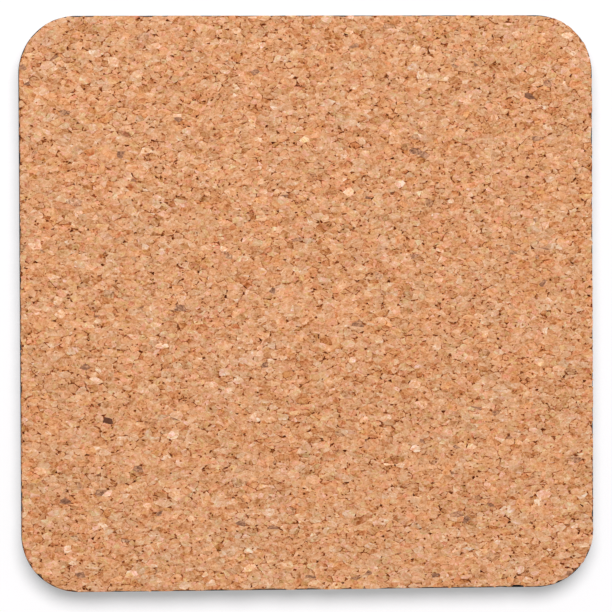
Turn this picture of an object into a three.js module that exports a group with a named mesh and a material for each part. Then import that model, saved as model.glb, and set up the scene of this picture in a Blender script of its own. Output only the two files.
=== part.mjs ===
// A square drink coaster with rounded corners, lying cork side up. A sheet of agglomerated cork is glued to a
// dark-edged hardboard, and the board's other side carries a thin laminate face, which lies on the table.
// Millimetres, +Z up. The origin is the centre of the underside.

import * as THREE from "three";

// Driving dimensions

const boardSide = 95; // edge to edge, across the flats
const boardCornerRadius = 9.5;
const boardThickness = 3.2;
const boardArris = 0.2; // the sanded corner round the board's cork side

const corkThickness = 1.3;
const corkSetback = 0.12; // the die-cut cork stops this far inside the board's edge
const corkShiftX = -0.06; // the cork is laid by hand, a hair off the board's centre
const corkShiftY = 0.03;
const corkArris = 0.25; // its top corner, rubbed down by use

const laminateThickness = 0.3;
const laminateArris = 0.18; // the eased corner that meets the table

const glueThickness = 0.1; // one film on each side of the board
const glueSetback = 0.3; // the glue stops short of the edge that it meets

const cornerFacets = 24; // round each corner

// Heights of the stack, from the table up

const laminateTop = laminateThickness;
const boardBottom = laminateTop + glueThickness;
const boardTop = boardBottom + boardThickness;
const corkBottom = boardTop + glueThickness;
const corkTop = corkBottom + corkThickness;

// Outlines of the layers, each drawn in from the board's by its setback

const corkSide = boardSide - 2 * corkSetback;
const corkCornerRadius = boardCornerRadius - corkSetback;

// The points round a square with rounded corners, anticlockwise: an arc for each corner, joined by the straights
function roundedSquare(side, radius) {
  const straight = side / 2 - radius;
  const centres = [
    [straight, straight],
    [-straight, straight],
    [-straight, -straight],
    [straight, -straight],
  ];
  const points = [];
  centres.forEach(([x, y], quarter) => {
    for (let i = 0; i <= cornerFacets; i++) {
      const turn = ((quarter + i / cornerFacets) * Math.PI) / 2;
      points.push(new THREE.Vector2(x + radius * Math.cos(turn), y + radius * Math.sin(turn)));
    }
  });
  return points;
}

// A closed slab. Each level is { z, inset }, from the bottom up, with the outline drawn in by inset there.
function roundedSlab(side, radius, levels) {
  const rings = levels.map(({ inset }) => roundedSquare(side - 2 * inset, radius - inset));
  const count = rings[0].length;
  const places = levels.flatMap(({ z }, level) => rings[level].flatMap(({ x, y }) => [x, y, z]));
  const triangles = [];
  for (let level = 0; level + 1 < levels.length; level++) {
    for (let i = 0; i < count; i++) {
      const next = (i + 1) % count;
      const [a, b] = [level * count + i, level * count + next];
      triangles.push(a, b, b + count, a, b + count, a + count);
    }
  }
  const last = (levels.length - 1) * count;
  for (const [a, b, c] of THREE.ShapeUtils.triangulateShape(rings[0], [])) triangles.push(a, c, b);
  for (const [a, b, c] of THREE.ShapeUtils.triangulateShape(rings.at(-1), [])) {
    triangles.push(last + a, last + b, last + c);
  }
  const slab = new THREE.BufferGeometry();
  slab.setAttribute("position", new THREE.Float32BufferAttribute(places, 3));
  slab.setIndex(triangles);
  slab.computeVertexNormals();
  return slab;
}

function layer(name, geometry, color, roughness) {
  const mesh = new THREE.Mesh(geometry, new THREE.MeshStandardMaterial({ color, roughness, metalness: 0 }));
  mesh.name = name;
  return mesh;
}

// The face that is usually printed, here bare, with its table-side corner eased
function faceLaminate() {
  const levels = [
    { z: 0, inset: laminateArris },
    { z: laminateArris, inset: 0 },
    { z: laminateTop, inset: 0 },
  ];
  return layer("face_laminate", roundedSlab(boardSide, boardCornerRadius, levels), 0xe6e2da, 0.3);
}

// A film of glue between two layers, drawn in from the outline of the smaller one
function glueFilm(name, side, radius, bottom, color) {
  const levels = [
    { z: bottom, inset: glueSetback },
    { z: bottom + glueThickness, inset: glueSetback },
  ];
  return layer(name, roundedSlab(side, radius, levels), color, 0.45);
}

// The stiff layer, whose dark edge shows as a line round the cork
function coreBoard() {
  const levels = [
    { z: boardBottom, inset: 0 },
    { z: boardTop - boardArris, inset: 0 },
    { z: boardTop, inset: boardArris },
  ];
  return layer("core_board", roundedSlab(boardSide, boardCornerRadius, levels), 0x2b2624, 0.6);
}

function corkSheet() {
  const levels = [
    { z: corkBottom, inset: 0 },
    { z: corkTop - corkArris, inset: 0 },
    { z: corkTop, inset: corkArris },
  ];
  return layer("cork_sheet", roundedSlab(corkSide, corkCornerRadius, levels), 0xd59a6f, 0.95);
}

// What lies off centre together: the cork and the glue under it
const corkAndGlue = new THREE.Group();
corkAndGlue.position.set(corkShiftX, corkShiftY, 0);
corkAndGlue.add(glueFilm("cork_glue_film", corkSide, corkCornerRadius, boardTop, 0xc9b183), corkSheet());

const coaster = new THREE.Group();
coaster.add(
  faceLaminate(),
  glueFilm("face_glue_film", boardSide, boardCornerRadius, laminateTop, 0xd8cdb4),
  coreBoard(),
  corkAndGlue,
);

export default coaster;
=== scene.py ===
import math

import bpy
import numpy as np
from mathutils import Matrix, Vector, kdtree, noise


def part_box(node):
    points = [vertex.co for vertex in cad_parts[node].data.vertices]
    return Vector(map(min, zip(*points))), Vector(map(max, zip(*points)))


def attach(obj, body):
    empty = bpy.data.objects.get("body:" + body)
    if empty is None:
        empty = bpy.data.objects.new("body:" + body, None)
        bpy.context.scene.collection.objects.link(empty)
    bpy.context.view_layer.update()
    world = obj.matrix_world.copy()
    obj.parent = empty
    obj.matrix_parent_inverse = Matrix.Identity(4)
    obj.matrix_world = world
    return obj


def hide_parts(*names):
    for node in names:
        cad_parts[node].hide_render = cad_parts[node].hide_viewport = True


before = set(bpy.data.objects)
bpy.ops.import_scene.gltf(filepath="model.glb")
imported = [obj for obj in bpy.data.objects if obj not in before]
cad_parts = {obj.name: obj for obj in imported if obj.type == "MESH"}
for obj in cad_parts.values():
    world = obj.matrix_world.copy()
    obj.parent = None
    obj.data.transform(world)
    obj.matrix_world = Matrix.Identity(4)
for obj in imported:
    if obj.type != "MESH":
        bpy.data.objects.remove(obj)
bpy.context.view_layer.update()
mm = 0.001
level = 0.01  # mm, heights closer than this count as one
flatTop = 0.99  # a face whose normal is at least this upright is flat


# small helpers

def linear(r, g, b):  # a colour picked on screen, 0 to 255, as the linear value that sockets take
    out = []
    for c in (r / 255, g / 255, b / 255):
        out.append(c / 12.92 if c <= 0.04045 else ((c + 0.055) / 1.055) ** 2.4)
    return (out[0], out[1], out[2], 1.0)


def deselectAll():
    if bpy.context.mode != "OBJECT":
        bpy.ops.object.mode_set(mode="OBJECT")
    bpy.ops.object.select_all(action="DESELECT")


def makeActive(piece):
    deselectAll()
    piece.select_set(True)
    bpy.context.view_layer.objects.active = piece


def clearPicks(kind):  # nothing picked, ready to pick edges or faces in code
    bpy.ops.object.mode_set(mode="EDIT")
    bpy.ops.mesh.select_mode(type=kind)
    bpy.ops.mesh.select_all(action="DESELECT")
    bpy.ops.object.mode_set(mode="OBJECT")


def pickEdges(piece, test):  # selects the edges whose two ends, in mm, pass the test, and goes to edit mode
    clearPicks("EDGE")
    spots = [v.co for v in piece.data.vertices]
    for edge in piece.data.edges:
        edge.select = bool(test(spots[edge.vertices[0]] / mm, spots[edge.vertices[1]] / mm))
    bpy.ops.object.mode_set(mode="EDIT")


def pickFlats(piece):  # the same for the flat top and bottom faces
    clearPicks("FACE")
    for face in piece.data.polygons:
        face.select = abs(face.normal.z) > flatTop
    bpy.ops.object.mode_set(mode="EDIT")


def bevelPicked(width, segments):  # rounds the picked edges, width in mm
    bpy.ops.mesh.bevel(offset=width * mm, segments=segments, affect="EDGES", profile=0.5)


def smoothBy(degrees):  # smooths the active piece, but keeps edges that turn by more
    bpy.ops.object.shade_smooth_by_angle(angle=math.radians(degrees))


def roundedSlab(name, low, high, radius, segments):  # a block with round upright corners, sizes in mm
    deselectAll()
    bpy.ops.mesh.primitive_cube_add(size=1, location=(low + high) / 2 * mm)
    slab = bpy.context.object
    slab.name = slab.data.name = name
    slab.scale = (high - low) * mm
    bpy.ops.object.transform_apply(location=True, rotation=False, scale=True)
    pickEdges(slab, lambda p, q: abs(p.z - q.z) > level)
    bevelPicked(radius, segments)
    bpy.ops.object.mode_set(mode="OBJECT")
    return slab


def roundedOutline(side, radius, facets):  # points round a square with round corners, anticlockwise, in mm
    straight = side / 2 - radius
    points = []
    for quarter, (sx, sy) in enumerate(((1, 1), (-1, 1), (-1, -1), (1, -1))):
        for i in range(facets + 1):
            turn = (quarter + i / facets) * math.pi / 2
            points.append((sx * straight + radius * math.cos(turn), sy * straight + radius * math.sin(turn)))
    return points


def cadCorners(node):  # a CAD node's box in mm
    low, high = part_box(node)
    return Vector(low) / mm, Vector(high) / mm


def nearestOf(points):
    tree = kdtree.KDTree(len(points))
    for i, p in enumerate(points):
        tree.insert(p, i)
    tree.balance()
    return tree


def finishPiece(piece, node, material):
    piece.data.materials.clear()
    piece.data.materials.append(material)
    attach(piece, "root")
    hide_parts(node)
    print(piece.name, "done:", len(piece.data.polygons), "faces")


# shader helpers

def startMaterial(name):
    material = bpy.data.materials.new(name)
    material.use_nodes = True
    return material, material.node_tree, material.node_tree.nodes["Principled BSDF"]


def add(tree, kind, **settings):
    made = tree.nodes.new(kind)
    for name, value in settings.items():
        setattr(made, name, value)
    return made


def plug(tree, value, socket):  # links a socket, or sets a plain value
    if isinstance(value, bpy.types.NodeSocket):
        tree.links.new(value, socket)
    else:
        socket.default_value = value


def wired(tree, kind, values, **settings):  # a node whose inputs of these names are linked or set
    made = add(tree, kind, **settings)
    for name, value in values.items():
        plug(tree, value, made.inputs[name])
    return made.outputs


def calc(tree, operation, *values):
    made = add(tree, "ShaderNodeMath", operation=operation)
    for value, socket in zip(values, made.inputs):
        plug(tree, value, socket)
    return made.outputs[0]


def centred(tree, value):  # 0 to 1 becomes -0.5 to 0.5
    return calc(tree, "SUBTRACT", value, 0.5)


def weighed(tree, start, terms):  # start, and each value times its share
    total = start
    for value, share in terms:
        total = calc(tree, "MULTIPLY_ADD", value, share, total)
    return total


def vectorCalc(tree, operation, *values):
    made = add(tree, "ShaderNodeVectorMath", operation=operation)
    sockets = [socket for socket in made.inputs if socket.enabled]
    for value, socket in zip(values, sockets):
        plug(tree, value, socket)
    return made.outputs[0]


def ranged(tree, value, fromLow, fromHigh, toLow=0.0, toHigh=1.0):
    span = {"From Min": fromLow, "From Max": fromHigh, "To Min": toLow, "To Max": toHigh}
    return wired(tree, "ShaderNodeMapRange", {"Value": value, **span}, clamp=True)["Result"]


def mixed(tree, factor, first, second, blend="MIX"):
    made = add(tree, "ShaderNodeMix", data_type="RGBA", blend_type=blend)
    colours = [socket for socket in made.inputs if socket.type == "RGBA"]
    plug(tree, factor, made.inputs[0])
    plug(tree, first, colours[0])
    plug(tree, second, colours[1])
    return [socket for socket in made.outputs if socket.type == "RGBA"][0]


def grainMix(tree, grain, reach, colours, most=1.0):  # from one colour to the other as the grain goes up
    share = ranged(tree, grain, -reach, reach, 0.0, most)
    return mixed(tree, share, linear(*colours[0]), linear(*colours[1]))


def ramped(tree, value, stops):
    made = add(tree, "ShaderNodeValToRGB")
    elements = made.color_ramp.elements
    elements[0].position, elements[0].color = stops[0][0], linear(*stops[0][1])
    elements[1].position, elements[1].color = stops[-1][0], linear(*stops[-1][1])
    for at, rgb in stops[1:-1]:
        elements.new(at).color = linear(*rgb)
    plug(tree, value, made.inputs["Fac"])
    return made.outputs["Color"]


def readAttribute(tree, name):
    return add(tree, "ShaderNodeAttribute", attribute_name=name).outputs["Fac"]


def raggedMask(tree, name, grain, amount, span):  # a mesh attribute, its border broken up by the grain
    ragged = calc(tree, "MULTIPLY_ADD", grain, amount, readAttribute(tree, name))
    return ranged(tree, ragged, *span)


def objectSpot(tree):
    return add(tree, "ShaderNodeTexCoord").outputs["Object"]


def scaledSpot(tree, scale):
    return wired(tree, "ShaderNodeMapping", {"Vector": objectSpot(tree), "Scale": scale})[0]


def addBump(tree, shader, height, strength, distance):
    bump = wired(tree, "ShaderNodeBump", {"Strength": strength, "Distance": distance, "Height": height})
    plug(tree, bump["Normal"], shader.inputs["Normal"])


# shader groups

def startGroup(name, inputs, outputs):  # a shader group with its sockets, and what goes in and comes out
    group = bpy.data.node_groups.new(name, "ShaderNodeTree")
    for socket, kind in inputs.items():
        group.interface.new_socket(name=socket, in_out="INPUT", socket_type=kind)
    for socket in outputs:
        group.interface.new_socket(name=socket, in_out="OUTPUT", socket_type="NodeSocketFloat")
    return group, add(group, "NodeGroupInput").outputs, add(group, "NodeGroupOutput").inputs


def makeGrainGroup():  # fine noise round zero, flecks of even tone round zero, and small pores
    detail = 4
    roughness = 0.75
    poreCore = 0.22  # distances within a cell
    poreEnd = 0.42
    noPore = 0.82  # what a cell draws, 0 to 1
    fullPore = 0.92
    inputs = {"Vector": "NodeSocketVector", "Scale": "NodeSocketFloat", "Pore Scale": "NodeSocketFloat"}
    group, come, go = startGroup("fineGrain", inputs, ("Grain", "Flecks", "Pores"))
    fineness = {"Scale": come["Scale"], "Detail": detail, "Roughness": roughness}
    cloud = wired(group, "ShaderNodeTexNoise", {"Vector": come["Vector"], **fineness})
    plug(group, centred(group, cloud["Fac"]), go["Grain"])
    cells = wired(group, "ShaderNodeTexVoronoi", {"Vector": come["Vector"], "Scale": come["Pore Scale"]})
    chance = wired(group, "ShaderNodeSeparateColor", {"Color": cells["Color"]})
    plug(group, centred(group, chance[0]), go["Flecks"])
    near = ranged(group, cells["Distance"], poreCore, poreEnd, 1.0, 0.0)
    some = ranged(group, chance[1], noPore, fullPore)
    plug(group, calc(group, "MULTIPLY", near, some), go["Pores"])
    return group


def makeRimGroup():  # how far in from the edge of a square with round corners, in metres
    inputs = {"Vector": "NodeSocketVector", "Half Side": "NodeSocketFloat", "Radius": "NodeSocketFloat"}
    group, come, go = startGroup("rimDistance", inputs, ("Distance",))
    parts = wired(group, "ShaderNodeSeparateXYZ", {"Vector": come["Vector"]})
    straight = calc(group, "SUBTRACT", come["Half Side"], come["Radius"])
    past, squares = [], []
    for axis in (0, 1):
        past.append(calc(group, "SUBTRACT", calc(group, "ABSOLUTE", parts[axis]), straight))
        beyond = calc(group, "MAXIMUM", past[axis], 0.0)
        squares.append(calc(group, "MULTIPLY", beyond, beyond))
    outer = calc(group, "SQRT", calc(group, "ADD", *squares))
    inner = calc(group, "MINIMUM", calc(group, "MAXIMUM", *past), 0.0)
    plug(group, calc(group, "SUBTRACT", come["Radius"], calc(group, "ADD", outer, inner)), go["Distance"])
    return group


fineGrain = makeGrainGroup()
rimDistance = makeRimGroup()


def grainAt(tree, spot, scale, poreScale):
    values = {"Vector": spot, "Scale": scale, "Pore Scale": poreScale}
    return wired(tree, "ShaderNodeGroup", values, node_tree=fineGrain)


def rimAt(tree, spot, half, radius):
    values = {"Vector": spot, "Half Side": half, "Radius": radius}
    return wired(tree, "ShaderNodeGroup", values, node_tree=rimDistance)["Distance"]


def grainRoughness(tree, shader, grain, reach, span):
    plug(tree, ranged(tree, grain, -reach, reach, *span), shader.inputs["Roughness"])


# camera, set to the photograph's frame of 612 by 612

camera = {
    "place": (-0.05435, 0.01590, 0.70606),
    "turn": (-1.3123, -4.4065, -0.2721),  # degrees: nearly straight down
    "lens": 250.7,
    "sensor": 36,
    "clipEnd": 20,
}


def makeCamera(spec):
    data = bpy.data.cameras.new("camera")
    data.lens = spec["lens"]
    data.sensor_width = spec["sensor"]
    data.clip_end = spec["clipEnd"]
    eye = bpy.data.objects.new("camera", data)
    eye.location = spec["place"]
    eye.rotation_euler = [math.radians(a) for a in spec["turn"]]
    bpy.context.collection.objects.link(eye)
    bpy.context.scene.camera = eye
    print("camera done")


# floor and light

studio = {
    "floorSize": 4.0,
    "floorGap": 0.00002,  # keeps the floor off the face that lies on it
    "floorColour": (0.655, 0.644, 0.656, 1),
    "floorLift": 0.35,  # for the eye only: the paper is brighter than it is lit
    "worldLevel": 0.20,
    "lampPower": 16.7,
    "lampPlace": (-0.03, 0.525, 1.173),
    "lampSize": (0.97, 0.71),
}


def makeFloor(spec):
    deselectAll()
    bpy.ops.mesh.primitive_plane_add(size=spec["floorSize"], location=(0, 0, -spec["floorGap"]))
    floor = bpy.context.object
    floor.name = "floor"
    material = bpy.data.materials.new("paperFloor")
    material.use_nodes = True
    tree = material.node_tree
    tree.nodes.clear()
    out = add(tree, "ShaderNodeOutputMaterial")
    plain = add(tree, "ShaderNodeBsdfDiffuse")
    plain.inputs["Color"].default_value = spec["floorColour"]
    lift = add(tree, "ShaderNodeEmission")
    ray = add(tree, "ShaderNodeLightPath").outputs
    looked = calc(tree, "MAXIMUM", ray["Is Camera Ray"], ray["Is Glossy Ray"])
    looked = calc(tree, "MAXIMUM", looked, ray["Is Transmission Ray"])
    plug(tree, calc(tree, "MULTIPLY", looked, spec["floorLift"]), lift.inputs["Strength"])
    both = add(tree, "ShaderNodeAddShader")
    plug(tree, plain.outputs[0], both.inputs[0])
    plug(tree, lift.outputs[0], both.inputs[1])
    plug(tree, both.outputs[0], out.inputs["Surface"])
    floor.data.materials.append(material)


def makeLight(spec):
    world = bpy.data.worlds.new("studio")
    world.use_nodes = True
    sky = world.node_tree.nodes["Background"]
    sky.inputs["Color"].default_value = (1, 1, 1, 1)
    sky.inputs["Strength"].default_value = spec["worldLevel"]
    bpy.context.scene.world = world
    lamp = bpy.data.lights.new("softbox", "AREA")
    lamp.shape = "ELLIPSE"
    lamp.size, lamp.size_y = spec["lampSize"]
    lamp.energy = spec["lampPower"]
    softbox = bpy.data.objects.new("softbox", lamp)
    softbox.location = spec["lampPlace"]
    softbox.rotation_euler = (-softbox.location).to_track_quat("-Z", "Y").to_euler()
    bpy.context.collection.objects.link(softbox)
    bpy.context.scene.view_settings.view_transform = "Standard"
    print("floor and light done")


# cork sheet

cork = {
    "radius": 9.38,  # corner radius, mm
    "cornerFacets": 12,
    "seed": 11,
    "granuleStep": 1.22,  # mm between granules before they are pushed about
    "crumbStep": 1.05,  # the crumbs that fill in between them
    "stretch": (1.5, 0.95, 0.9),
    "margin": 1.6,  # how far the bed of granules reaches past the sheet
    "granuleWeight": 0.16,  # how much room a granule takes from the crumbs, mm squared
    "weightSpread": (0.1, 1.9),
    "creamShare": 0.05,
    "creamTone": 2.6,
    "barkShare": 0.012,
    "barkDepth": (0.4, 1.0),
    "barkFade": 0.45,  # bark in a large granule is fainter than in a crumb
    "turn": 0.5,  # spread of the direction of the grain, radians
    "lift": (-0.04, 0.0),  # how far under the face a granule lies
    "tilt": 0.035,  # and how it slopes
    "markedDepth": 0.1,  # the marked granules lie this deep
    "darkRoom": 0.6,  # and take this share of a granule's room
    "paleRoom": 1.8,
    "weld": 0.03,
    "holeSides": 12,  # gaps up to this size, left by the weld, are filled
    "pitArea": 0.30,  # a crumb cut smaller than this, in mm squared, has mostly fallen out
    "pitRound": 0.5,  # and only where it is about as long as wide: 1 is a circle
    "pitShare": 0.8,
    "pitCore": (0.09, 0.20),  # radius of what is left of the hole
    "pitMost": 0.75,  # which takes up no more of the crumb than this
    "pitDepth": (0.08, 0.26),
    "jointDepth": (0.01, 0.07),
    "jointBias": 2.2,  # the higher, the fewer deep joints
    "rimWidth": (0.14, 0.24),  # of the rounded rim of a granule
    "rimMost": 0.5,  # as a share of the way to its middle
    "ragged": 0.34,  # how far granules are torn back along the cut edge
    "raggedBias": 1.6,  # the higher, the fewer torn far back
    "proud": 0.022,  # how far the others swell past it
    "footTear": 0.7,  # the foot of the edge is torn less
    "arrisDrop": 0.05,  # the edge of the top is rubbed down
    "arrisJoint": 0.6,  # and its joints are shallower
    "pressed": 1.6,  # how far in from the edge the top gives way with it
    "pressedBlur": 0.02,
    "gap": (34.3, -47.2),  # where a granule is missing from the edge
    "gapReach": 0.8,
    "gapDepth": 0.6,
    "underRim": 0.015,  # width of the rim underneath, as a share of the way to the middle
    "smooth": 40,
    # granules that stand out on the face: place in mm, bark, tone
    "marked": {
        "darkBark": (36.9, 34.0, 1.5, 0),
        "darkKnot": (-33.0, -19.1, 1.9, 0),
        "paleChip": (-22.4, -21.5, 0, 5.5),
        "tailedChip": (-28.3, -27.3, 0.9, 0),
        "brownChip": (-34.0, -30.9, 0.8, 0),
        "brownEdgeChip": (-40.2, -32.4, 1.3, 0),
        "dullChip": (40.1, 36.2, 0.7, 0),
        "dullMiddleChip": (-6.0, 2.0, 0.8, 0),
        "dullWideChip": (24.5, -35.1, 0.7, 0),
        "dullTopChip": (17.8, 25.0, 0.8, 0),
        "dullLeftChip": (-40.1, 31.5, 0.7, 0),
        "dullRightChip": (44.9, -26.2, 0.7, 0),
        "paleTopChip": (-32.0, 39.7, 0, 3.0),
        "paleLeftChip": (-43.8, 35.1, 0, 3.0),
        "paleLowChip": (34.9, -44.5, 0, 3.2),
        "paleEdgeChip": (36.2, -46.2, 0, 2.6),
    },
    # finish
    "roughness": 0.9,
    "specular": 0.08,
    "bump": (0.35, 0.00008),
    "crumbScale": 1.5,  # per mm
    "grainScale": 2.7,
    "fleckScale": 2.4,
    "bendScale": 1.3,
    "bendDetail": 3,
    "bend": (0.9, 0.9, 0.9),  # how far the pattern wanders, mm
    "streak": (0.62, 1.0, 1.0),  # it is drawn out along each granule
    "seamRagged": -1.6,
    "seamSpan": (0.38, 0.85),
    "pitRagged": -1.2,
    "pitSpan": (0.35, 0.70),
    "base": 0.612,
    "granuleTone": 0.056,
    "crumbTone": 0.18,
    "grainTone": 1.15,
    "fleckTone": 0.16,
    "poreTone": -0.5,
    "seamTone": -0.50,
    # painted shade: the floor of each pit is painted darker, partly for the shade in the hole and partly for
    # the dirt and binder that gather there
    "pitShadeTone": -0.40,
    "granuleHue": 3.5,
    "crumbHue": 9.4,
    "fleckHue": 72.0,
    "seamHue": 5.0,
    "patchHue": 20.0,
    "patchScale": 0.27,
    "rustHue": 4.0,
    "rustCrumbs": (0.16, 0.06),  # the darkest crumbs are reddish
    "cast": (1.008, 0.992, 1.018),
    "dull": (-0.00705, 0.00303, 0.01385),  # one step from orange towards grey
    "pink": (0.00596, -0.00613, 0.01377),  # one step from tan towards pink
    "barkColours": ((112, 72, 52), (194, 140, 108)),
    "barkGrain": 0.13,
    "barkDarkest": (96, 56, 40),
    "barkRagged": -1.8,
    "barkSpan": (0.15, 0.9),
    # the cork's colour, from its darkest joints to its palest granules
    "ramp": (
        (0.00, (74, 30, 8)),
        (0.15, (124, 58, 20)),
        (0.30, (160, 91, 42)),
        (0.45, (191, 127, 78)),
        (0.60, (214, 155, 109)),
        (0.75, (227, 175, 132)),
        (0.90, (238, 195, 158)),
        (1.00, (250, 220, 190)),
    ),
}


def growGranules(spec, low, high):  # a bed of granules and crumbs that reaches past the sheet
    rng = np.random.default_rng(spec["seed"])
    start = low - spec["margin"]
    reach = high - start + spec["margin"]

    def scatter(step):
        steps = np.array(spec["stretch"]) * step
        counts = np.ceil(reach / steps).astype(int)
        grid = np.stack(np.meshgrid(*[np.arange(n) for n in counts], indexing="ij"), -1).reshape(-1, 3)
        return start + (grid + rng.random(grid.shape)) * steps

    large = scatter(spec["granuleStep"])
    small = scatter(spec["crumbStep"])
    middles = np.concatenate([large, small])
    count = len(middles)
    isCrumb = np.arange(count) >= len(large)
    tone = rng.normal(0, 1, count)
    tone[rng.random(count) < spec["creamShare"]] += spec["creamTone"]
    weight = np.where(isCrumb, 0.0, spec["granuleWeight"] * rng.uniform(*spec["weightSpread"], count))
    bark = (rng.random(count) < spec["barkShare"]) * rng.uniform(*spec["barkDepth"], count)
    bark *= np.where(isCrumb, 1.0, spec["barkFade"])
    cut = spec["proud"] - spec["ragged"] * rng.random(count) ** spec["raggedBias"]
    cut[np.linalg.norm(middles[:, :2] - spec["gap"], axis=1) < spec["gapReach"]] = -spec["gapDepth"]
    for x, y, dark, pale in spec["marked"].values():
        there = np.array([x, y, high[2] - spec["markedDepth"]])
        g = int(np.argmin(((large - there) ** 2).sum(1)))
        middles[g] = there
        weight[g] = spec["granuleWeight"] * (spec["darkRoom"] if dark else spec["paleRoom"])
        bark[g] = dark
        tone[g] = pale
    return {
        "middle": middles,
        "weight": weight,
        "tone": tone,
        "bark": bark,
        "cut": cut,
        "pit": rng.random(count) < spec["pitShare"],
        "warm": rng.normal(0, 1, count),
        "turn": rng.normal(0, spec["turn"], count),
        "lift": rng.uniform(*spec["lift"], count),
        "tilt": rng.normal(0, spec["tilt"], (count, 2)),
    }


def trimmed(points, a, b, c):  # the part of a polygon with a x + b y < c
    kept = []
    px, py = points[-1]
    pd = a * px + b * py - c
    for x, y in points:
        d = a * x + b * y - c
        if (d < 0) != (pd < 0):
            s = pd / (pd - d)
            kept.append((px + s * (x - px), py + s * (y - py)))
        if d < 0:
            kept.append((x, y))
        px, py, pd = x, y, d
    return kept


def rimOf(points):  # an anticlockwise outline as half planes
    rim = []
    for (ax, ay), (bx, by) in zip(points, points[1:] + points[:1]):
        nx, ny = by - ay, ax - bx
        length = math.hypot(nx, ny)
        rim.append((nx / length, ny / length, (nx * ax + ny * ay) / length))
    return rim


def keptInside(cell, rim):  # what is left of a cell inside an outline
    for a, b, c in rim:
        if any(a * x + b * y > c for x, y in cell):
            cell = trimmed(cell, a, b, c)
            if len(cell) < 3:
                break
    return cell


def sliceGranules(granules, stretch, origin, along, up, rim, reach):
    # cuts the granules with a flat facet; rim is the facet's outline as half planes in its own two directions
    deep = 1.5  # mm: granules further than this from the facet don't reach it
    spare = 2  # nor further than this past its ends
    half = 3  # half the width of a cell before it is trimmed
    neighbours = 60
    wide = 9  # a cell that reaches further, squared, is measured after each cut
    scale = 1 / np.array(stretch)
    offset = granules["middle"] - origin
    across, above = offset @ along, offset @ up
    left, right, bottom, top = reach
    near = np.abs(offset @ np.cross(along, up)) < deep
    near &= (across > left - spare) & (across < right + spare)
    near &= (above > bottom - spare) & (above < top + spare)
    chosen = np.flatnonzero(near).tolist()
    q = granules["middle"][chosen] * scale
    tree = nearestOf(q)
    o, u, w = origin * scale, along * scale, up * scale
    uu, ww, uw = float(u @ u), float(w @ w), float(u @ w)
    size = ((q * q).sum(1) - granules["weight"][chosen]).tolist()
    qu, qw, qo = (q @ u).tolist(), (q @ w).tolist(), (q @ o).tolist()
    cells = []
    for i, g in enumerate(chosen):
        a, b = float(across[g]), float(above[g])
        cell = [(a - half, b - half), (a + half, b - half), (a + half, b + half), (a - half, b + half)]
        toFacet = o - q[i]
        ou, ow, oo = 2 * float(toFacet @ u), 2 * float(toFacet @ w), float(toFacet @ toFacet)
        reached = math.inf  # how far off the cell's furthest corner is, squared
        for _, j, gap in tree.find_n(q[i], neighbours):
            if j == i:
                continue
            if gap * gap > 4 * reached + 1:  # all the others are too far off to trim it
                break
            before = len(cell), cell[0]
            limit = size[j] - size[i] - 2 * (qo[j] - qo[i])
            cell = trimmed(cell, 2 * (qu[j] - qu[i]), 2 * (qw[j] - qw[i]), limit)
            if len(cell) < 3:
                break
            if (len(cell), cell[0]) != before or reached > wide:
                reached = max(oo + x * (ou + x * uu + 2 * y * uw) + y * (ow + y * ww) for x, y in cell)
        if len(cell) >= 3:
            cell = keptInside(cell, rim)
        if len(cell) >= 3:
            cells.append((g, cell))
    return cells


def sliceSheet(granules, spec, low, high):
    # the cells of the sheet's top, which is facet 0, and of the facets of its cut edge
    middle = (low + high) / 2
    thick = high[2] - low[2]
    perSide = spec["cornerFacets"] + 1
    square = roundedOutline(high[0] - low[0], spec["radius"], spec["cornerFacets"])
    outline = [(x + middle[0], y + middle[1]) for x, y in square]
    xAxis, yAxis, zAxis = np.eye(3)
    reach = (low[0], high[0], low[1], high[1])
    cells = []  # facet, granule, corners
    top, rim = high * zAxis, rimOf(outline)
    for g, cell in sliceGranules(granules, spec["stretch"], top, xAxis, yAxis, rim, reach):
        cells.append((0, g, [(x, y, high[2]) for x, y in cell]))
    walls = [None]
    run = 0.0
    for k, (p, n) in enumerate(zip(outline, outline[1:] + outline[:1])):
        if k % perSide == 0:
            run = 0.0
        length = math.hypot(n[0] - p[0], n[1] - p[1])
        along = np.array([(n[0] - p[0]) / length, (n[1] - p[1]) / length, 0.0])
        origin = np.array([p[0], p[1], low[2]])
        rim = rimOf([(0, 0), (length, 0), (length, thick), (0, thick)])
        reach = (0, length, 0, thick)
        walls.append({"origin": origin, "along": along, "run": run, "strip": k // perSide})
        for g, cell in sliceGranules(granules, spec["stretch"], origin, along, zAxis, rim, reach):
            cells.append((k + 1, g, [tuple(origin + x * along + y * zAxis) for x, y in cell]))
        run += length
    return cells, walls


def weldCells(cells, spec):  # one shell of all the cells, each with the numbers of its facet and its granule
    places, faces = [], []
    for _, _, points in cells:
        faces.append(list(range(len(places), len(places) + len(points))))
        places.extend(points)
    mesh = bpy.data.meshes.new("corkShell")
    mesh.from_pydata(places, [], faces)
    for column, name in enumerate(("facet", "granule")):
        layer = mesh.attributes.new(name, "INT", "FACE")
        layer.data.foreach_set("value", [int(cell[column]) for cell in cells])
    shell = bpy.data.objects.new("corkShell", mesh)
    bpy.context.collection.objects.link(shell)
    makeActive(shell)
    bpy.ops.object.mode_set(mode="EDIT")
    bpy.ops.mesh.select_all(action="SELECT")
    bpy.ops.mesh.remove_doubles(threshold=spec["weld"])
    bpy.ops.mesh.fill_holes(sides=spec["holeSides"])
    clearPicks("EDGE")
    return shell


def readFaces(mesh, name):
    return [a.value for a in mesh.attributes[name].data]


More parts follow.
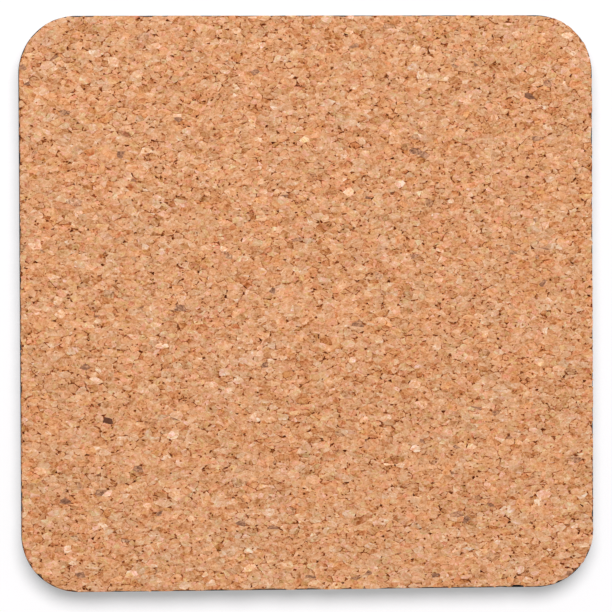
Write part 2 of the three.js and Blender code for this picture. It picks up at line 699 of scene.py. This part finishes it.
def joinRoundCorners(mesh):  # a granule that runs round a corner is one cell, not one for each facet
    granule, facet = readFaces(mesh, "granule"), readFaces(mesh, "facet")
    beside = {}
    for face in mesh.polygons:
        for key in face.edge_keys:
            beside.setdefault(key, []).append(face.index)
    for edge in mesh.edges:
        pair = beside[edge.key]
        sameGranule = len({granule[f] for f in pair}) == 1
        edge.select = len(pair) == 2 and sameGranule and all(facet[f] > 0 for f in pair)
    bpy.ops.object.mode_set(mode="EDIT")
    bpy.ops.mesh.dissolve_edges(use_verts=False)
    bpy.ops.object.mode_set(mode="OBJECT")
    print("cork shell:", len(mesh.polygons), "cells")


def surveyShell(flat, granules, walls):  # where each point is, and how far its granules are cut back
    count = len(flat.vertices)
    owner, facet = readFaces(flat, "granule"), readFaces(flat, "facet")
    onTop = np.zeros(count, bool)
    onWall = np.zeros(count, bool)
    outward = np.zeros((count, 3))
    cut = np.zeros(count)
    shares = np.zeros(count)
    for face in flat.polygons:
        wall = walls[facet[face.index]]
        for i in face.vertices:
            cut[i] += granules["cut"][owner[face.index]]
            shares[i] += 1
            if wall is None:
                onTop[i] = True
            else:
                onWall[i] = True
                outward[i] += face.normal
    cut /= np.maximum(shares, 1)
    length = np.linalg.norm(outward, axis=1)
    outward[length > 0] /= length[length > 0][:, None]
    return {
        "spot": np.array([v.co for v in flat.vertices]),
        "owner": owner,
        "facet": facet,
        "onTop": onTop,
        "onWall": onWall,
        "outward": outward,
        "cut": cut,
    }


def insetOf(spot, spec, low, high):  # how far each point lies in from the sheet's outline
    straight = (high[0] - low[0]) / 2 - spec["radius"]
    past = np.abs(spot[:, :2] - (low[:2] + high[:2]) / 2) - straight
    outer = np.linalg.norm(np.maximum(past, 0), axis=1)
    return spec["radius"] - outer - np.minimum(past.max(1), 0)


def tearEdge(points, spec, low, high):  # sinks the joints between granules and tears the cut edge back
    spot, outward, cut = points["spot"], points["outward"], points["cut"]
    inside = points["onTop"] & ~points["onWall"]
    arris = points["onTop"] & points["onWall"]
    foot = spot[:, 2] < low[2] + level
    side = points["onWall"] & ~foot
    shallow, deep = spec["jointDepth"]
    depth = shallow + (deep - shallow) * points["groove"]
    torn = spot.copy()
    torn[inside, 2] -= depth[inside]
    torn[foot] += outward[foot] * spec["footTear"] * cut[foot][:, None]
    sunk = depth * np.where(points["onTop"], spec["arrisJoint"], 1.0)
    torn[side] += outward[side] * (cut - sunk)[side][:, None]
    torn[arris, 2] -= spec["arrisDrop"] + spec["arrisJoint"] * depth[arris]

    # the top just behind a torn edge is drawn in with it, so that no cell folds over
    pull = outward[arris] * cut[arris][:, None]
    edge = nearestOf(spot[arris])
    inset = insetOf(spot, spec, low, high)
    for i in np.flatnonzero(inside & (inset < spec["pressed"])):
        beside = edge.find_n(spot[i], 3)
        share = np.array([1 / (away + spec["pressedBlur"]) ** 2 for _, _, away in beside])
        drawn = share @ pull[[j for _, j, _ in beside]] / share.sum()
        torn[i] += drawn * (1 - max(inset[i], 0) / spec["pressed"])
    return torn


def carveCells(flat, points, granules, walls, spec, rng):  # gives each cell its rounded rim, and some a pit
    tiny = 1e-9
    places = list(points["torn"])
    seams = points["groove"].tolist()
    pits = [0.0] * len(places)
    faces, owners, sides = [], [], []
    for face in flat.polygons:
        g = points["owner"][face.index]
        wall = walls[points["facet"][face.index]]
        ring = list(face.vertices)
        size = len(ring)
        normal = np.array(face.normal)
        corners = np.array([places[i] for i in ring])
        rest = points["spot"][ring[0]] @ normal
        corners = corners - np.outer(corners @ normal - rest, normal)
        middle = corners.mean(0)
        ahead = np.roll(corners, -1, 0) - corners
        span = np.linalg.norm(ahead, axis=1) + tiny
        height = np.linalg.norm(np.cross(ahead, middle - corners), axis=1) / span
        room = (height + np.roll(height, 1)) / 2 + tiny
        roundness = 4 * math.pi * face.area / span.sum() ** 2
        isPit = bool(granules["pit"][g]) and face.area < spec["pitArea"] and roundness > spec["pitRound"]
        rim = rng.uniform(*spec["rimWidth"], size)
        inner = corners + (middle - corners) * np.minimum(spec["rimMost"], rim / room)[:, None]
        if isPit:
            core = rng.uniform(*spec["pitCore"]) / math.sqrt(face.area / math.pi)
            inner = middle + (corners - middle) * min(core, spec["pitMost"])
            inner = inner - np.outer(rng.uniform(*spec["pitDepth"], size), normal)
        elif wall is None:
            rise = granules["lift"][g] + (inner - middle)[:, :2] @ granules["tilt"][g]
            inner = inner + np.outer(np.minimum(rise, 0.0), normal)
        if wall is not None:
            inner = inner + granules["cut"][g] * normal
        start = len(places)
        places.extend(inner)
        seams.extend([0.0] * size)
        # marks the floor of each pit, where the shader paints shade and dirt
        pits.extend([float(isPit)] * size)
        for k in range(size):
            n = (k + 1) % size
            faces.append([ring[k], ring[n], start + n, start + k])
        faces.append(list(range(start, start + size)))
        owners.extend([g] * (size + 1))
        sides.extend([wall] * (size + 1))
    return {"places": places, "seam": seams, "pit": pits, "faces": faces, "owners": owners, "sides": sides}


def edgesOf(face):
    return zip(face, face[1:] + face[:1])


def addUnderRim(carved, spec, low, high):
    # a plain rim round the underside keeps the seams of the edge from running across it
    places, faces = carved["places"], carved["faces"]
    centre = np.array([(low[0] + high[0]) / 2, (low[1] + high[1]) / 2, low[2]])
    used = {edge for face in faces for edge in edgesOf(face)}
    rim = {}
    for face, g in list(zip(faces, carved["owners"])):
        for a, b in edgesOf(face):
            if (b, a) in used:
                continue
            for i in (a, b):
                if i not in rim:
                    rim[i] = len(places)
                    places.append(places[i] + (centre - places[i]) * spec["underRim"])
                    carved["seam"].append(0.0)
                    carved["pit"].append(0.0)
            faces.append([b, a, rim[a], rim[b]])
            carved["owners"].append(g)
            carved["sides"].append("under")


def mapCork(p, side, low):  # where a point goes on the bake map, whose sides are 1
    perMm = 0.0092
    underPerMm = 0.00092  # the underside doesn't show
    margin = 0.01
    underLeft = 0.9
    strips = 0.892  # the four sides of the cut edge lie above the top
    stripStep = 0.0225
    x, y, z = p[0] - low[0], p[1] - low[1], p[2] - low[2]
    if side is None:
        return (margin + x * perMm, margin + y * perMm)
    if side == "under":
        return (underLeft + x * underPerMm, margin + y * underPerMm)
    run = side["run"] + float((p - side["origin"]) @ side["along"])
    return (margin + run * perMm, strips + side["strip"] * stripStep + z * perMm)


def buildCork(carved, granules, low):
    mesh = bpy.data.meshes.new("cork_sheet_granules")
    mesh.from_pydata([Vector(p) * mm for p in carved["places"]], [], carved["faces"])
    for name in ("tone", "warm", "turn", "bark"):
        layer = mesh.attributes.new("granule" + name.title(), "FLOAT", "FACE")
        layer.data.foreach_set("value", granules[name][carved["owners"]])
    for name in ("seam", "pit"):
        mesh.attributes.new(name, "FLOAT", "POINT").data.foreach_set("value", carved[name])
    spots = []
    for face, side in zip(carved["faces"], carved["sides"]):
        for i in face:
            spots.extend(mapCork(carved["places"][i], side, low))
    mesh.uv_layers.new(name="OFBake").data.foreach_set("uv", spots)
    piece = bpy.data.objects.new("cork_sheet_granules", mesh)
    bpy.context.collection.objects.link(piece)
    makeActive(piece)
    bpy.ops.object.mode_set(mode="EDIT")
    bpy.ops.mesh.select_all(action="DESELECT")
    bpy.ops.mesh.select_non_manifold(extend=False)
    bpy.ops.mesh.edge_face_add()
    bpy.ops.object.mode_set(mode="OBJECT")
    under = max(mesh.polygons, key=lambda face: len(face.vertices))
    for corner in under.loop_indices:
        p = mesh.vertices[mesh.loops[corner].vertex_index].co / mm
        mesh.uv_layers["OFBake"].data[corner].uv = mapCork(p, "under", low)
    triangles = sum(len(face.vertices) - 2 for face in mesh.polygons)
    print("cork sheet:", triangles, "triangles")
    return piece


def makeCork(spec):
    low, high = [np.array(corner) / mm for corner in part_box("cork_sheet")]
    granules = growGranules(spec, low, high)
    cells, walls = sliceSheet(granules, spec, low, high)
    shell = weldCells(cells, spec)
    joinRoundCorners(shell.data)
    rng = np.random.default_rng(spec["seed"] + 1)
    points = surveyShell(shell.data, granules, walls)
    points["groove"] = rng.random(len(points["spot"])) ** spec["jointBias"]
    points["torn"] = tearEdge(points, spec, low, high)
    carved = carveCells(shell.data, points, granules, walls, spec, rng)
    bpy.data.objects.remove(shell)
    addUnderRim(carved, spec, low, high)
    piece = buildCork(carved, granules, low)
    smoothBy(spec["smooth"])
    finishPiece(piece, "cork_sheet", corkMaterial(spec))


def streakedSpot(tree, spec, spot):  # coordinates that wander, and run along each granule
    values = {"Vector": spot, "Scale": spec["bendScale"], "Detail": spec["bendDetail"]}
    bend = wired(tree, "ShaderNodeTexNoise", values)
    shift = vectorCalc(tree, "SUBTRACT", bend["Color"], (0.5, 0.5, 0.5))
    bent = vectorCalc(tree, "MULTIPLY_ADD", shift, spec["bend"], spot)
    values = {"Vector": bent, "Angle": readAttribute(tree, "granuleTurn")}
    turned = wired(tree, "ShaderNodeVectorRotate", values, rotation_type="Z_AXIS")
    return vectorCalc(tree, "MULTIPLY", turned[0], spec["streak"])


def corkTint(tree, spec, spot, crumb, seam):  # how the hue wanders, apart from the tone
    patch = wired(tree, "ShaderNodeTexNoise", {"Vector": spot, "Scale": spec["patchScale"]})
    rust = ranged(tree, crumb[0], *spec["rustCrumbs"])
    odd = centred(tree, crumb[2])
    odd = calc(tree, "MULTIPLY", odd, calc(tree, "MULTIPLY", odd, odd))  # most crumbs are alike
    dull = weighed(tree, 0.0, (
        (readAttribute(tree, "granuleWarm"), spec["granuleHue"]),
        (centred(tree, crumb[1]), spec["crumbHue"]),
        (seam, -spec["seamHue"]),
        (rust, -spec["rustHue"]),
        (centred(tree, patch["Fac"]), spec["patchHue"]),
    ))
    pink = weighed(tree, 0.0, (
        (odd, spec["fleckHue"]),
        (seam, spec["seamHue"]),
        (rust, spec["rustHue"]),
    ))
    tint = spec["cast"]
    for amount, step in ((dull, spec["dull"]), (pink, spec["pink"])):
        scaled = wired(tree, "ShaderNodeVectorMath", {"Vector": step, "Scale": amount}, operation="SCALE")
        tint = vectorCalc(tree, "ADD", scaled[0], tint)
    return tint


def barkOver(tree, spec, grain, colour):  # bark, darker where the granule has more of it
    bark = readAttribute(tree, "granuleBark")
    rough = grainMix(tree, grain, spec["barkGrain"], spec["barkColours"])
    rough = mixed(tree, ranged(tree, bark, 1.0, 2.0), rough, linear(*spec["barkDarkest"]))
    mask = raggedMask(tree, "granuleBark", grain, spec["barkRagged"], spec["barkSpan"])
    return mixed(tree, mask, colour, rough)


def corkMaterial(spec):
    material, tree, shader = startMaterial("pressedCork")
    shader.inputs["Roughness"].default_value = spec["roughness"]
    shader.inputs["Specular IOR Level"].default_value = spec["specular"]
    spot = scaledSpot(tree, (1 / mm, 1 / mm, 1 / mm))
    drawn = streakedSpot(tree, spec, spot)
    fine = grainAt(tree, drawn, spec["grainScale"], spec["fleckScale"])
    cells = wired(tree, "ShaderNodeTexVoronoi", {"Vector": drawn, "Scale": spec["crumbScale"]})
    crumb = wired(tree, "ShaderNodeSeparateColor", {"Color": cells["Color"]})
    seam = raggedMask(tree, "seam", fine["Grain"], spec["seamRagged"], spec["seamSpan"])
    # painted shade, with some dirt, at the floor of each pit
    pit = raggedMask(tree, "pit", fine["Grain"], spec["pitRagged"], spec["pitSpan"])
    tone = weighed(tree, spec["base"], (
        (readAttribute(tree, "granuleTone"), spec["granuleTone"]),
        (centred(tree, crumb[0]), spec["crumbTone"]),
        (fine["Grain"], spec["grainTone"]),
        (fine["Flecks"], spec["fleckTone"]),
        (fine["Pores"], spec["poreTone"]),
        (seam, spec["seamTone"]),
        (pit, spec["pitShadeTone"]),
    ))
    colour = ramped(tree, tone, spec["ramp"])
    colour = mixed(tree, 1.0, colour, corkTint(tree, spec, spot, crumb, seam), "MULTIPLY")
    colour = barkOver(tree, spec, fine["Grain"], colour)
    plug(tree, colour, shader.inputs["Base Color"])
    addBump(tree, shader, fine["Grain"], *spec["bump"])
    return material


# glue lines

glue = {
    "setback": 0.34,  # mm, the film's mean distance in from the edge
    "wander": 0.16,
    "cadSetback": 0.3,  # how far the CAD film stops inside the layer that it holds
    "closeEnough": 0.001,  # to that layer's edge, where the film's own is measured from
    "points": 520,
    "waves": ((40, 1.0), (110, 0.6)),  # how often the line wanders round the film, and how much
    "seeds": (23, 3),
    "smooth": 40,
    "grainScale": 700.0,
    "poreScale": 900.0,
    "dirt": (120, 92, 60),
    "dirtGrain": 0.2,
    "dirtMost": 0.6,
    "roughnessGrain": 0.25,
    "roughness": (0.3, 0.6),
    "corkColour": (206, 182, 136),
    "faceColour": (214, 200, 170),
}


def reachOf(x, y, half, radius, closeEnough):
    # how far a ray from the middle goes, in mm, until it meets the edge of a square with round corners
    straight = half - radius
    reach = half / max(abs(x), abs(y))
    while True:
        overX, overY = max(abs(x * reach) - straight, 0), max(abs(y * reach) - straight, 0)
        over = math.hypot(overX, overY) - radius
        if over < closeEnough:
            return reach
        reach -= over


def makeGlue(spec, name, node, slot, radius, colour):
    low, high = cadCorners(node)
    deselectAll()
    bpy.ops.mesh.primitive_circle_add(vertices=spec["points"], fill_type="NGON", location=(0, 0, 0))
    film = bpy.context.object
    film.name = film.data.name = name
    half = (high.x - low.x) / 2 + spec["cadSetback"]
    middle = (low + high) / 2
    for v in film.data.vertices:
        turn = math.atan2(v.co.y, v.co.x)
        x, y = math.cos(turn), math.sin(turn)
        wave = 0.0
        for (often, much), seed in zip(spec["waves"], spec["seeds"]):
            wave += much * noise.noise(Vector((x * often, y * often, seed)))
        reach = reachOf(x, y, half, radius, spec["closeEnough"])
        reach -= spec["setback"] - spec["wander"] * wave
        v.co = Vector((middle.x + x * reach, middle.y + y * reach, low.z)) * mm
    bpy.ops.object.mode_set(mode="EDIT")
    bpy.ops.mesh.select_all(action="SELECT")
    bpy.ops.mesh.extrude_region_move(TRANSFORM_OT_translate={"value": (0, 0, (high.z - low.z) * mm)})
    bpy.ops.mesh.select_all(action="SELECT")
    bpy.ops.mesh.normals_make_consistent(inside=False)
    bpy.ops.object.mode_set(mode="OBJECT")
    smoothBy(spec["smooth"])
    finishPiece(film, node, glueMaterial(spec, slot, colour))


def glueMaterial(spec, name, colour):
    material, tree, shader = startMaterial(name)
    fine = grainAt(tree, objectSpot(tree), spec["grainScale"], spec["poreScale"])
    dirty = grainMix(tree, fine["Grain"], spec["dirtGrain"], (colour, spec["dirt"]), spec["dirtMost"])
    plug(tree, dirty, shader.inputs["Base Color"])
    grainRoughness(tree, shader, fine["Grain"], spec["roughnessGrain"], spec["roughness"])
    return material


# core board with its sealed dark edge

board = {
    "radius": 9.5,
    "arris": 0.2,
    "arrisSegments": 2,
    "cornerSegments": 28,
    "cuts": 100,  # along each straight side
    "layers": 9,  # up the edge
    "waver": 0.03,  # mm that the sealed edge wanders
    "waverScale": 0.9,
    "waverLevel": -0.6,  # it wanders inwards from the outline
    "chips": 26,
    "chipSize": (0.4, 1.1),
    "chipDepth": 0.2,
    "chipLevel": 0.6,  # share of the depth that each chip has before it is roughened
    "chipRough": 3.0,
    "chipBare": 1.6,  # the higher, the more of a chip is bare
    "chipReach": 1.2,  # how far chips run in over the flat faces
    "edgeDepth": 0.05,  # what lies this far behind the arris still counts as edge
    "seed": 5,
    "smooth": 50,
    # finish
    "flat": (1.0, 1.0, 5.0),  # pressed fibres lie flat
    "grainScale": 900.0,
    "poreScale": 700.0,
    "sealed": ((27, 26, 30), (52, 47, 48)),
    "sealedGrain": 0.25,
    "pore": (15, 14, 16),
    "poreShare": 0.6,
    "fibre": ((84, 56, 38), (128, 92, 64)),
    "fibreGrain": 0.2,
    "tornScale": 1500.0,
    "tornRagged": 1.8,
    "tornSpan": (0.42, 0.52),
    "roughness": (0.5, 0.75),
    "bump": (0.4, 0.00005),
}


def placeChips(spec, low, high):  # place and size of each chip, most of them at the upper edge
    rng = np.random.default_rng(spec["seed"])
    half = (high.x - low.x) / 2
    chips = []
    for turn in rng.uniform(0, 2 * math.pi, spec["chips"]):
        x, y = math.cos(turn), math.sin(turn)
        grow = half / max(abs(x), abs(y))
        z = rng.choice([high.z, high.z, low.z])
        chips.append((Vector((x * grow, y * grow, z)), rng.uniform(*spec["chipSize"])))
    return chips


def wearEdge(mesh, spec, low, high):  # lets the edge waver and chips it; gives back each point's chip
    chips = placeChips(spec, low, high)
    straight = (high.x - low.x) / 2 - spec["radius"]
    edgeStart = spec["radius"] - spec["arris"] - spec["edgeDepth"]
    chipped = []
    for v in mesh.vertices:
        p = v.co / mm
        outX, outY = max(abs(p.x) - straight, 0), max(abs(p.y) - straight, 0)
        chip = 0.0
        if math.hypot(outX, outY) > edgeStart:
            away = Vector((math.copysign(outX, p.x), math.copysign(outY, p.y), 0)).normalized()
            for spot, size in chips:
                chip = max(chip, 1 - (p - spot).length / size)
            push = spec["waver"] * (noise.noise(p * spec["waverScale"]) + spec["waverLevel"])
            push -= spec["chipDepth"] * chip * (spec["chipLevel"] + noise.noise(p * spec["chipRough"]))
            v.co += away * min(push, 0) * mm
        chipped.append(min(1.0, chip * spec["chipBare"]))
    return chipped


def mapBoard(mesh, spec, low, high):  # the bake map, whose sides are 1: the edge in strips, the faces small
    perMm = 0.0107
    flatPerMm = 0.0048
    margin = 0.02
    underLeft = 0.52
    strips = 0.54
    stripStep = 0.08
    layer = mesh.uv_layers.new(name="OFBake")
    straight = (high.x - low.x) / 2 - spec["radius"]
    for face in mesh.polygons:
        side = round(math.atan2(face.center.y, face.center.x) / (math.pi / 2)) % 4
        toFront = Matrix.Rotation(-side * math.pi / 2, 3, "Z")
        left = margin if face.normal.z > 0 else underLeft
        for corner in face.loop_indices:
            p = mesh.vertices[mesh.loops[corner].vertex_index].co / mm
            if abs(face.normal.z) > flatTop:
                spot = (left + (p.x - low.x) * flatPerMm, margin + (p.y - low.y) * flatPerMm)
            else:
                q = toFront @ p
                run = abs(q.y)
                if run > straight:
                    run = straight + spec["radius"] * math.atan2(run - straight, q.x - straight)
                height = strips + side * stripStep + (p.z - low.z) * perMm
                spot = (0.5 + math.copysign(run, q.y) * perMm, height)
            layer.data[corner].uv = spot


def makeBoard(spec):
    low, high = cadCorners("core_board")
    slab = roundedSlab("core_board_sealed", low, high, spec["radius"], spec["cornerSegments"])
    thick = high.z - low.z
    pickEdges(slab, lambda p, q: abs(p.z - q.z) < level and p.z > high.z - level)
    bevelPicked(spec["arris"], spec["arrisSegments"])
    pickEdges(slab, lambda p, q: abs(p.z - q.z) > thick / 2)
    bpy.ops.mesh.subdivide(number_cuts=spec["layers"])
    pickEdges(slab, lambda p, q: (p - q).length > (high.x - low.x) / 2)
    bpy.ops.mesh.subdivide(number_cuts=spec["cuts"])
    pickFlats(slab)
    bpy.ops.mesh.inset(thickness=spec["chipReach"] * mm)
    bpy.ops.object.mode_set(mode="OBJECT")
    chipped = wearEdge(slab.data, spec, low, high)
    slab.data.attributes.new("chip", "FLOAT", "POINT").data.foreach_set("value", chipped)
    mapBoard(slab.data, spec, low, high)
    smoothBy(spec["smooth"])
    finishPiece(slab, "core_board", boardMaterial(spec))


def boardMaterial(spec):
    material, tree, shader = startMaterial("sealedHardboard")
    fine = grainAt(tree, scaledSpot(tree, spec["flat"]), spec["grainScale"], spec["poreScale"])
    dark = grainMix(tree, fine["Grain"], spec["sealedGrain"], spec["sealed"])
    pores = calc(tree, "MULTIPLY", fine["Pores"], spec["poreShare"])
    dark = mixed(tree, pores, dark, linear(*spec["pore"]))
    fibre = grainMix(tree, fine["Grain"], spec["fibreGrain"], spec["fibre"])
    torn = grainAt(tree, objectSpot(tree), spec["tornScale"], spec["poreScale"])
    bare = raggedMask(tree, "chip", torn["Grain"], spec["tornRagged"], spec["tornSpan"])
    plug(tree, mixed(tree, bare, dark, fibre), shader.inputs["Base Color"])
    grainRoughness(tree, shader, fine["Grain"], spec["sealedGrain"], spec["roughness"])
    addBump(tree, shader, fine["Grain"], *spec["bump"])
    return material


# laminate face, bare

laminate = {
    "radius": 9.5,
    "arris": 0.18,
    "arrisSegments": 3,
    "cornerSegments": 28,
    "smooth": 35,
    # finish
    "grainScale": 260.0,
    "poreScale": 1400.0,
    "face": ((228, 224, 216), (236, 233, 227)),
    "faceGrain": 0.25,
    "speck": (176, 168, 156),
    "speckShare": 0.12,
    "core": ((92, 66, 46), (122, 90, 64)),
    "coreGrain": 0.2,
    "coreShows": (0.00004, 0.0001),  # metres in from the edge
    "roughness": (0.26, 0.38),
    "bump": (0.12, 0.00003),
}


def makeLaminate(spec):
    low, high = cadCorners("face_laminate")
    sheet = roundedSlab("face_laminate_sheet", low, high, spec["radius"], spec["cornerSegments"])
    pickEdges(sheet, lambda p, q: abs(p.z - q.z) < level and p.z < low.z + level)
    bevelPicked(spec["arris"], spec["arrisSegments"])
    bpy.ops.object.mode_set(mode="OBJECT")
    smoothBy(spec["smooth"])
    finishPiece(sheet, "face_laminate", laminateMaterial(spec, (high.x - low.x) / 2))


def laminateMaterial(spec, half):
    material, tree, shader = startMaterial("satinLaminate")
    spot = objectSpot(tree)
    fine = grainAt(tree, spot, spec["grainScale"], spec["poreScale"])
    pale = grainMix(tree, fine["Grain"], spec["faceGrain"], spec["face"])
    specks = calc(tree, "MULTIPLY", fine["Pores"], spec["speckShare"])
    pale = mixed(tree, specks, pale, linear(*spec["speck"]))
    core = grainMix(tree, fine["Grain"], spec["coreGrain"], spec["core"])
    edge = ranged(tree, rimAt(tree, spot, half * mm, spec["radius"] * mm), *spec["coreShows"], 1.0, 0.0)
    plug(tree, mixed(tree, edge, pale, core), shader.inputs["Base Color"])
    grainRoughness(tree, shader, fine["Grain"], spec["faceGrain"], spec["roughness"])
    addBump(tree, shader, fine["Grain"], *spec["bump"])
    return material


makeCamera(camera)
makeFloor(studio)
makeLight(studio)
makeCork(cork)
makeGlue(glue, "cork_glue_line", "cork_glue_film", "cork_glue", cork["radius"], glue["corkColour"])
makeBoard(board)
makeGlue(glue, "face_glue_line", "face_glue_film", "face_glue", board["radius"], glue["faceColour"])
makeLaminate(laminate)
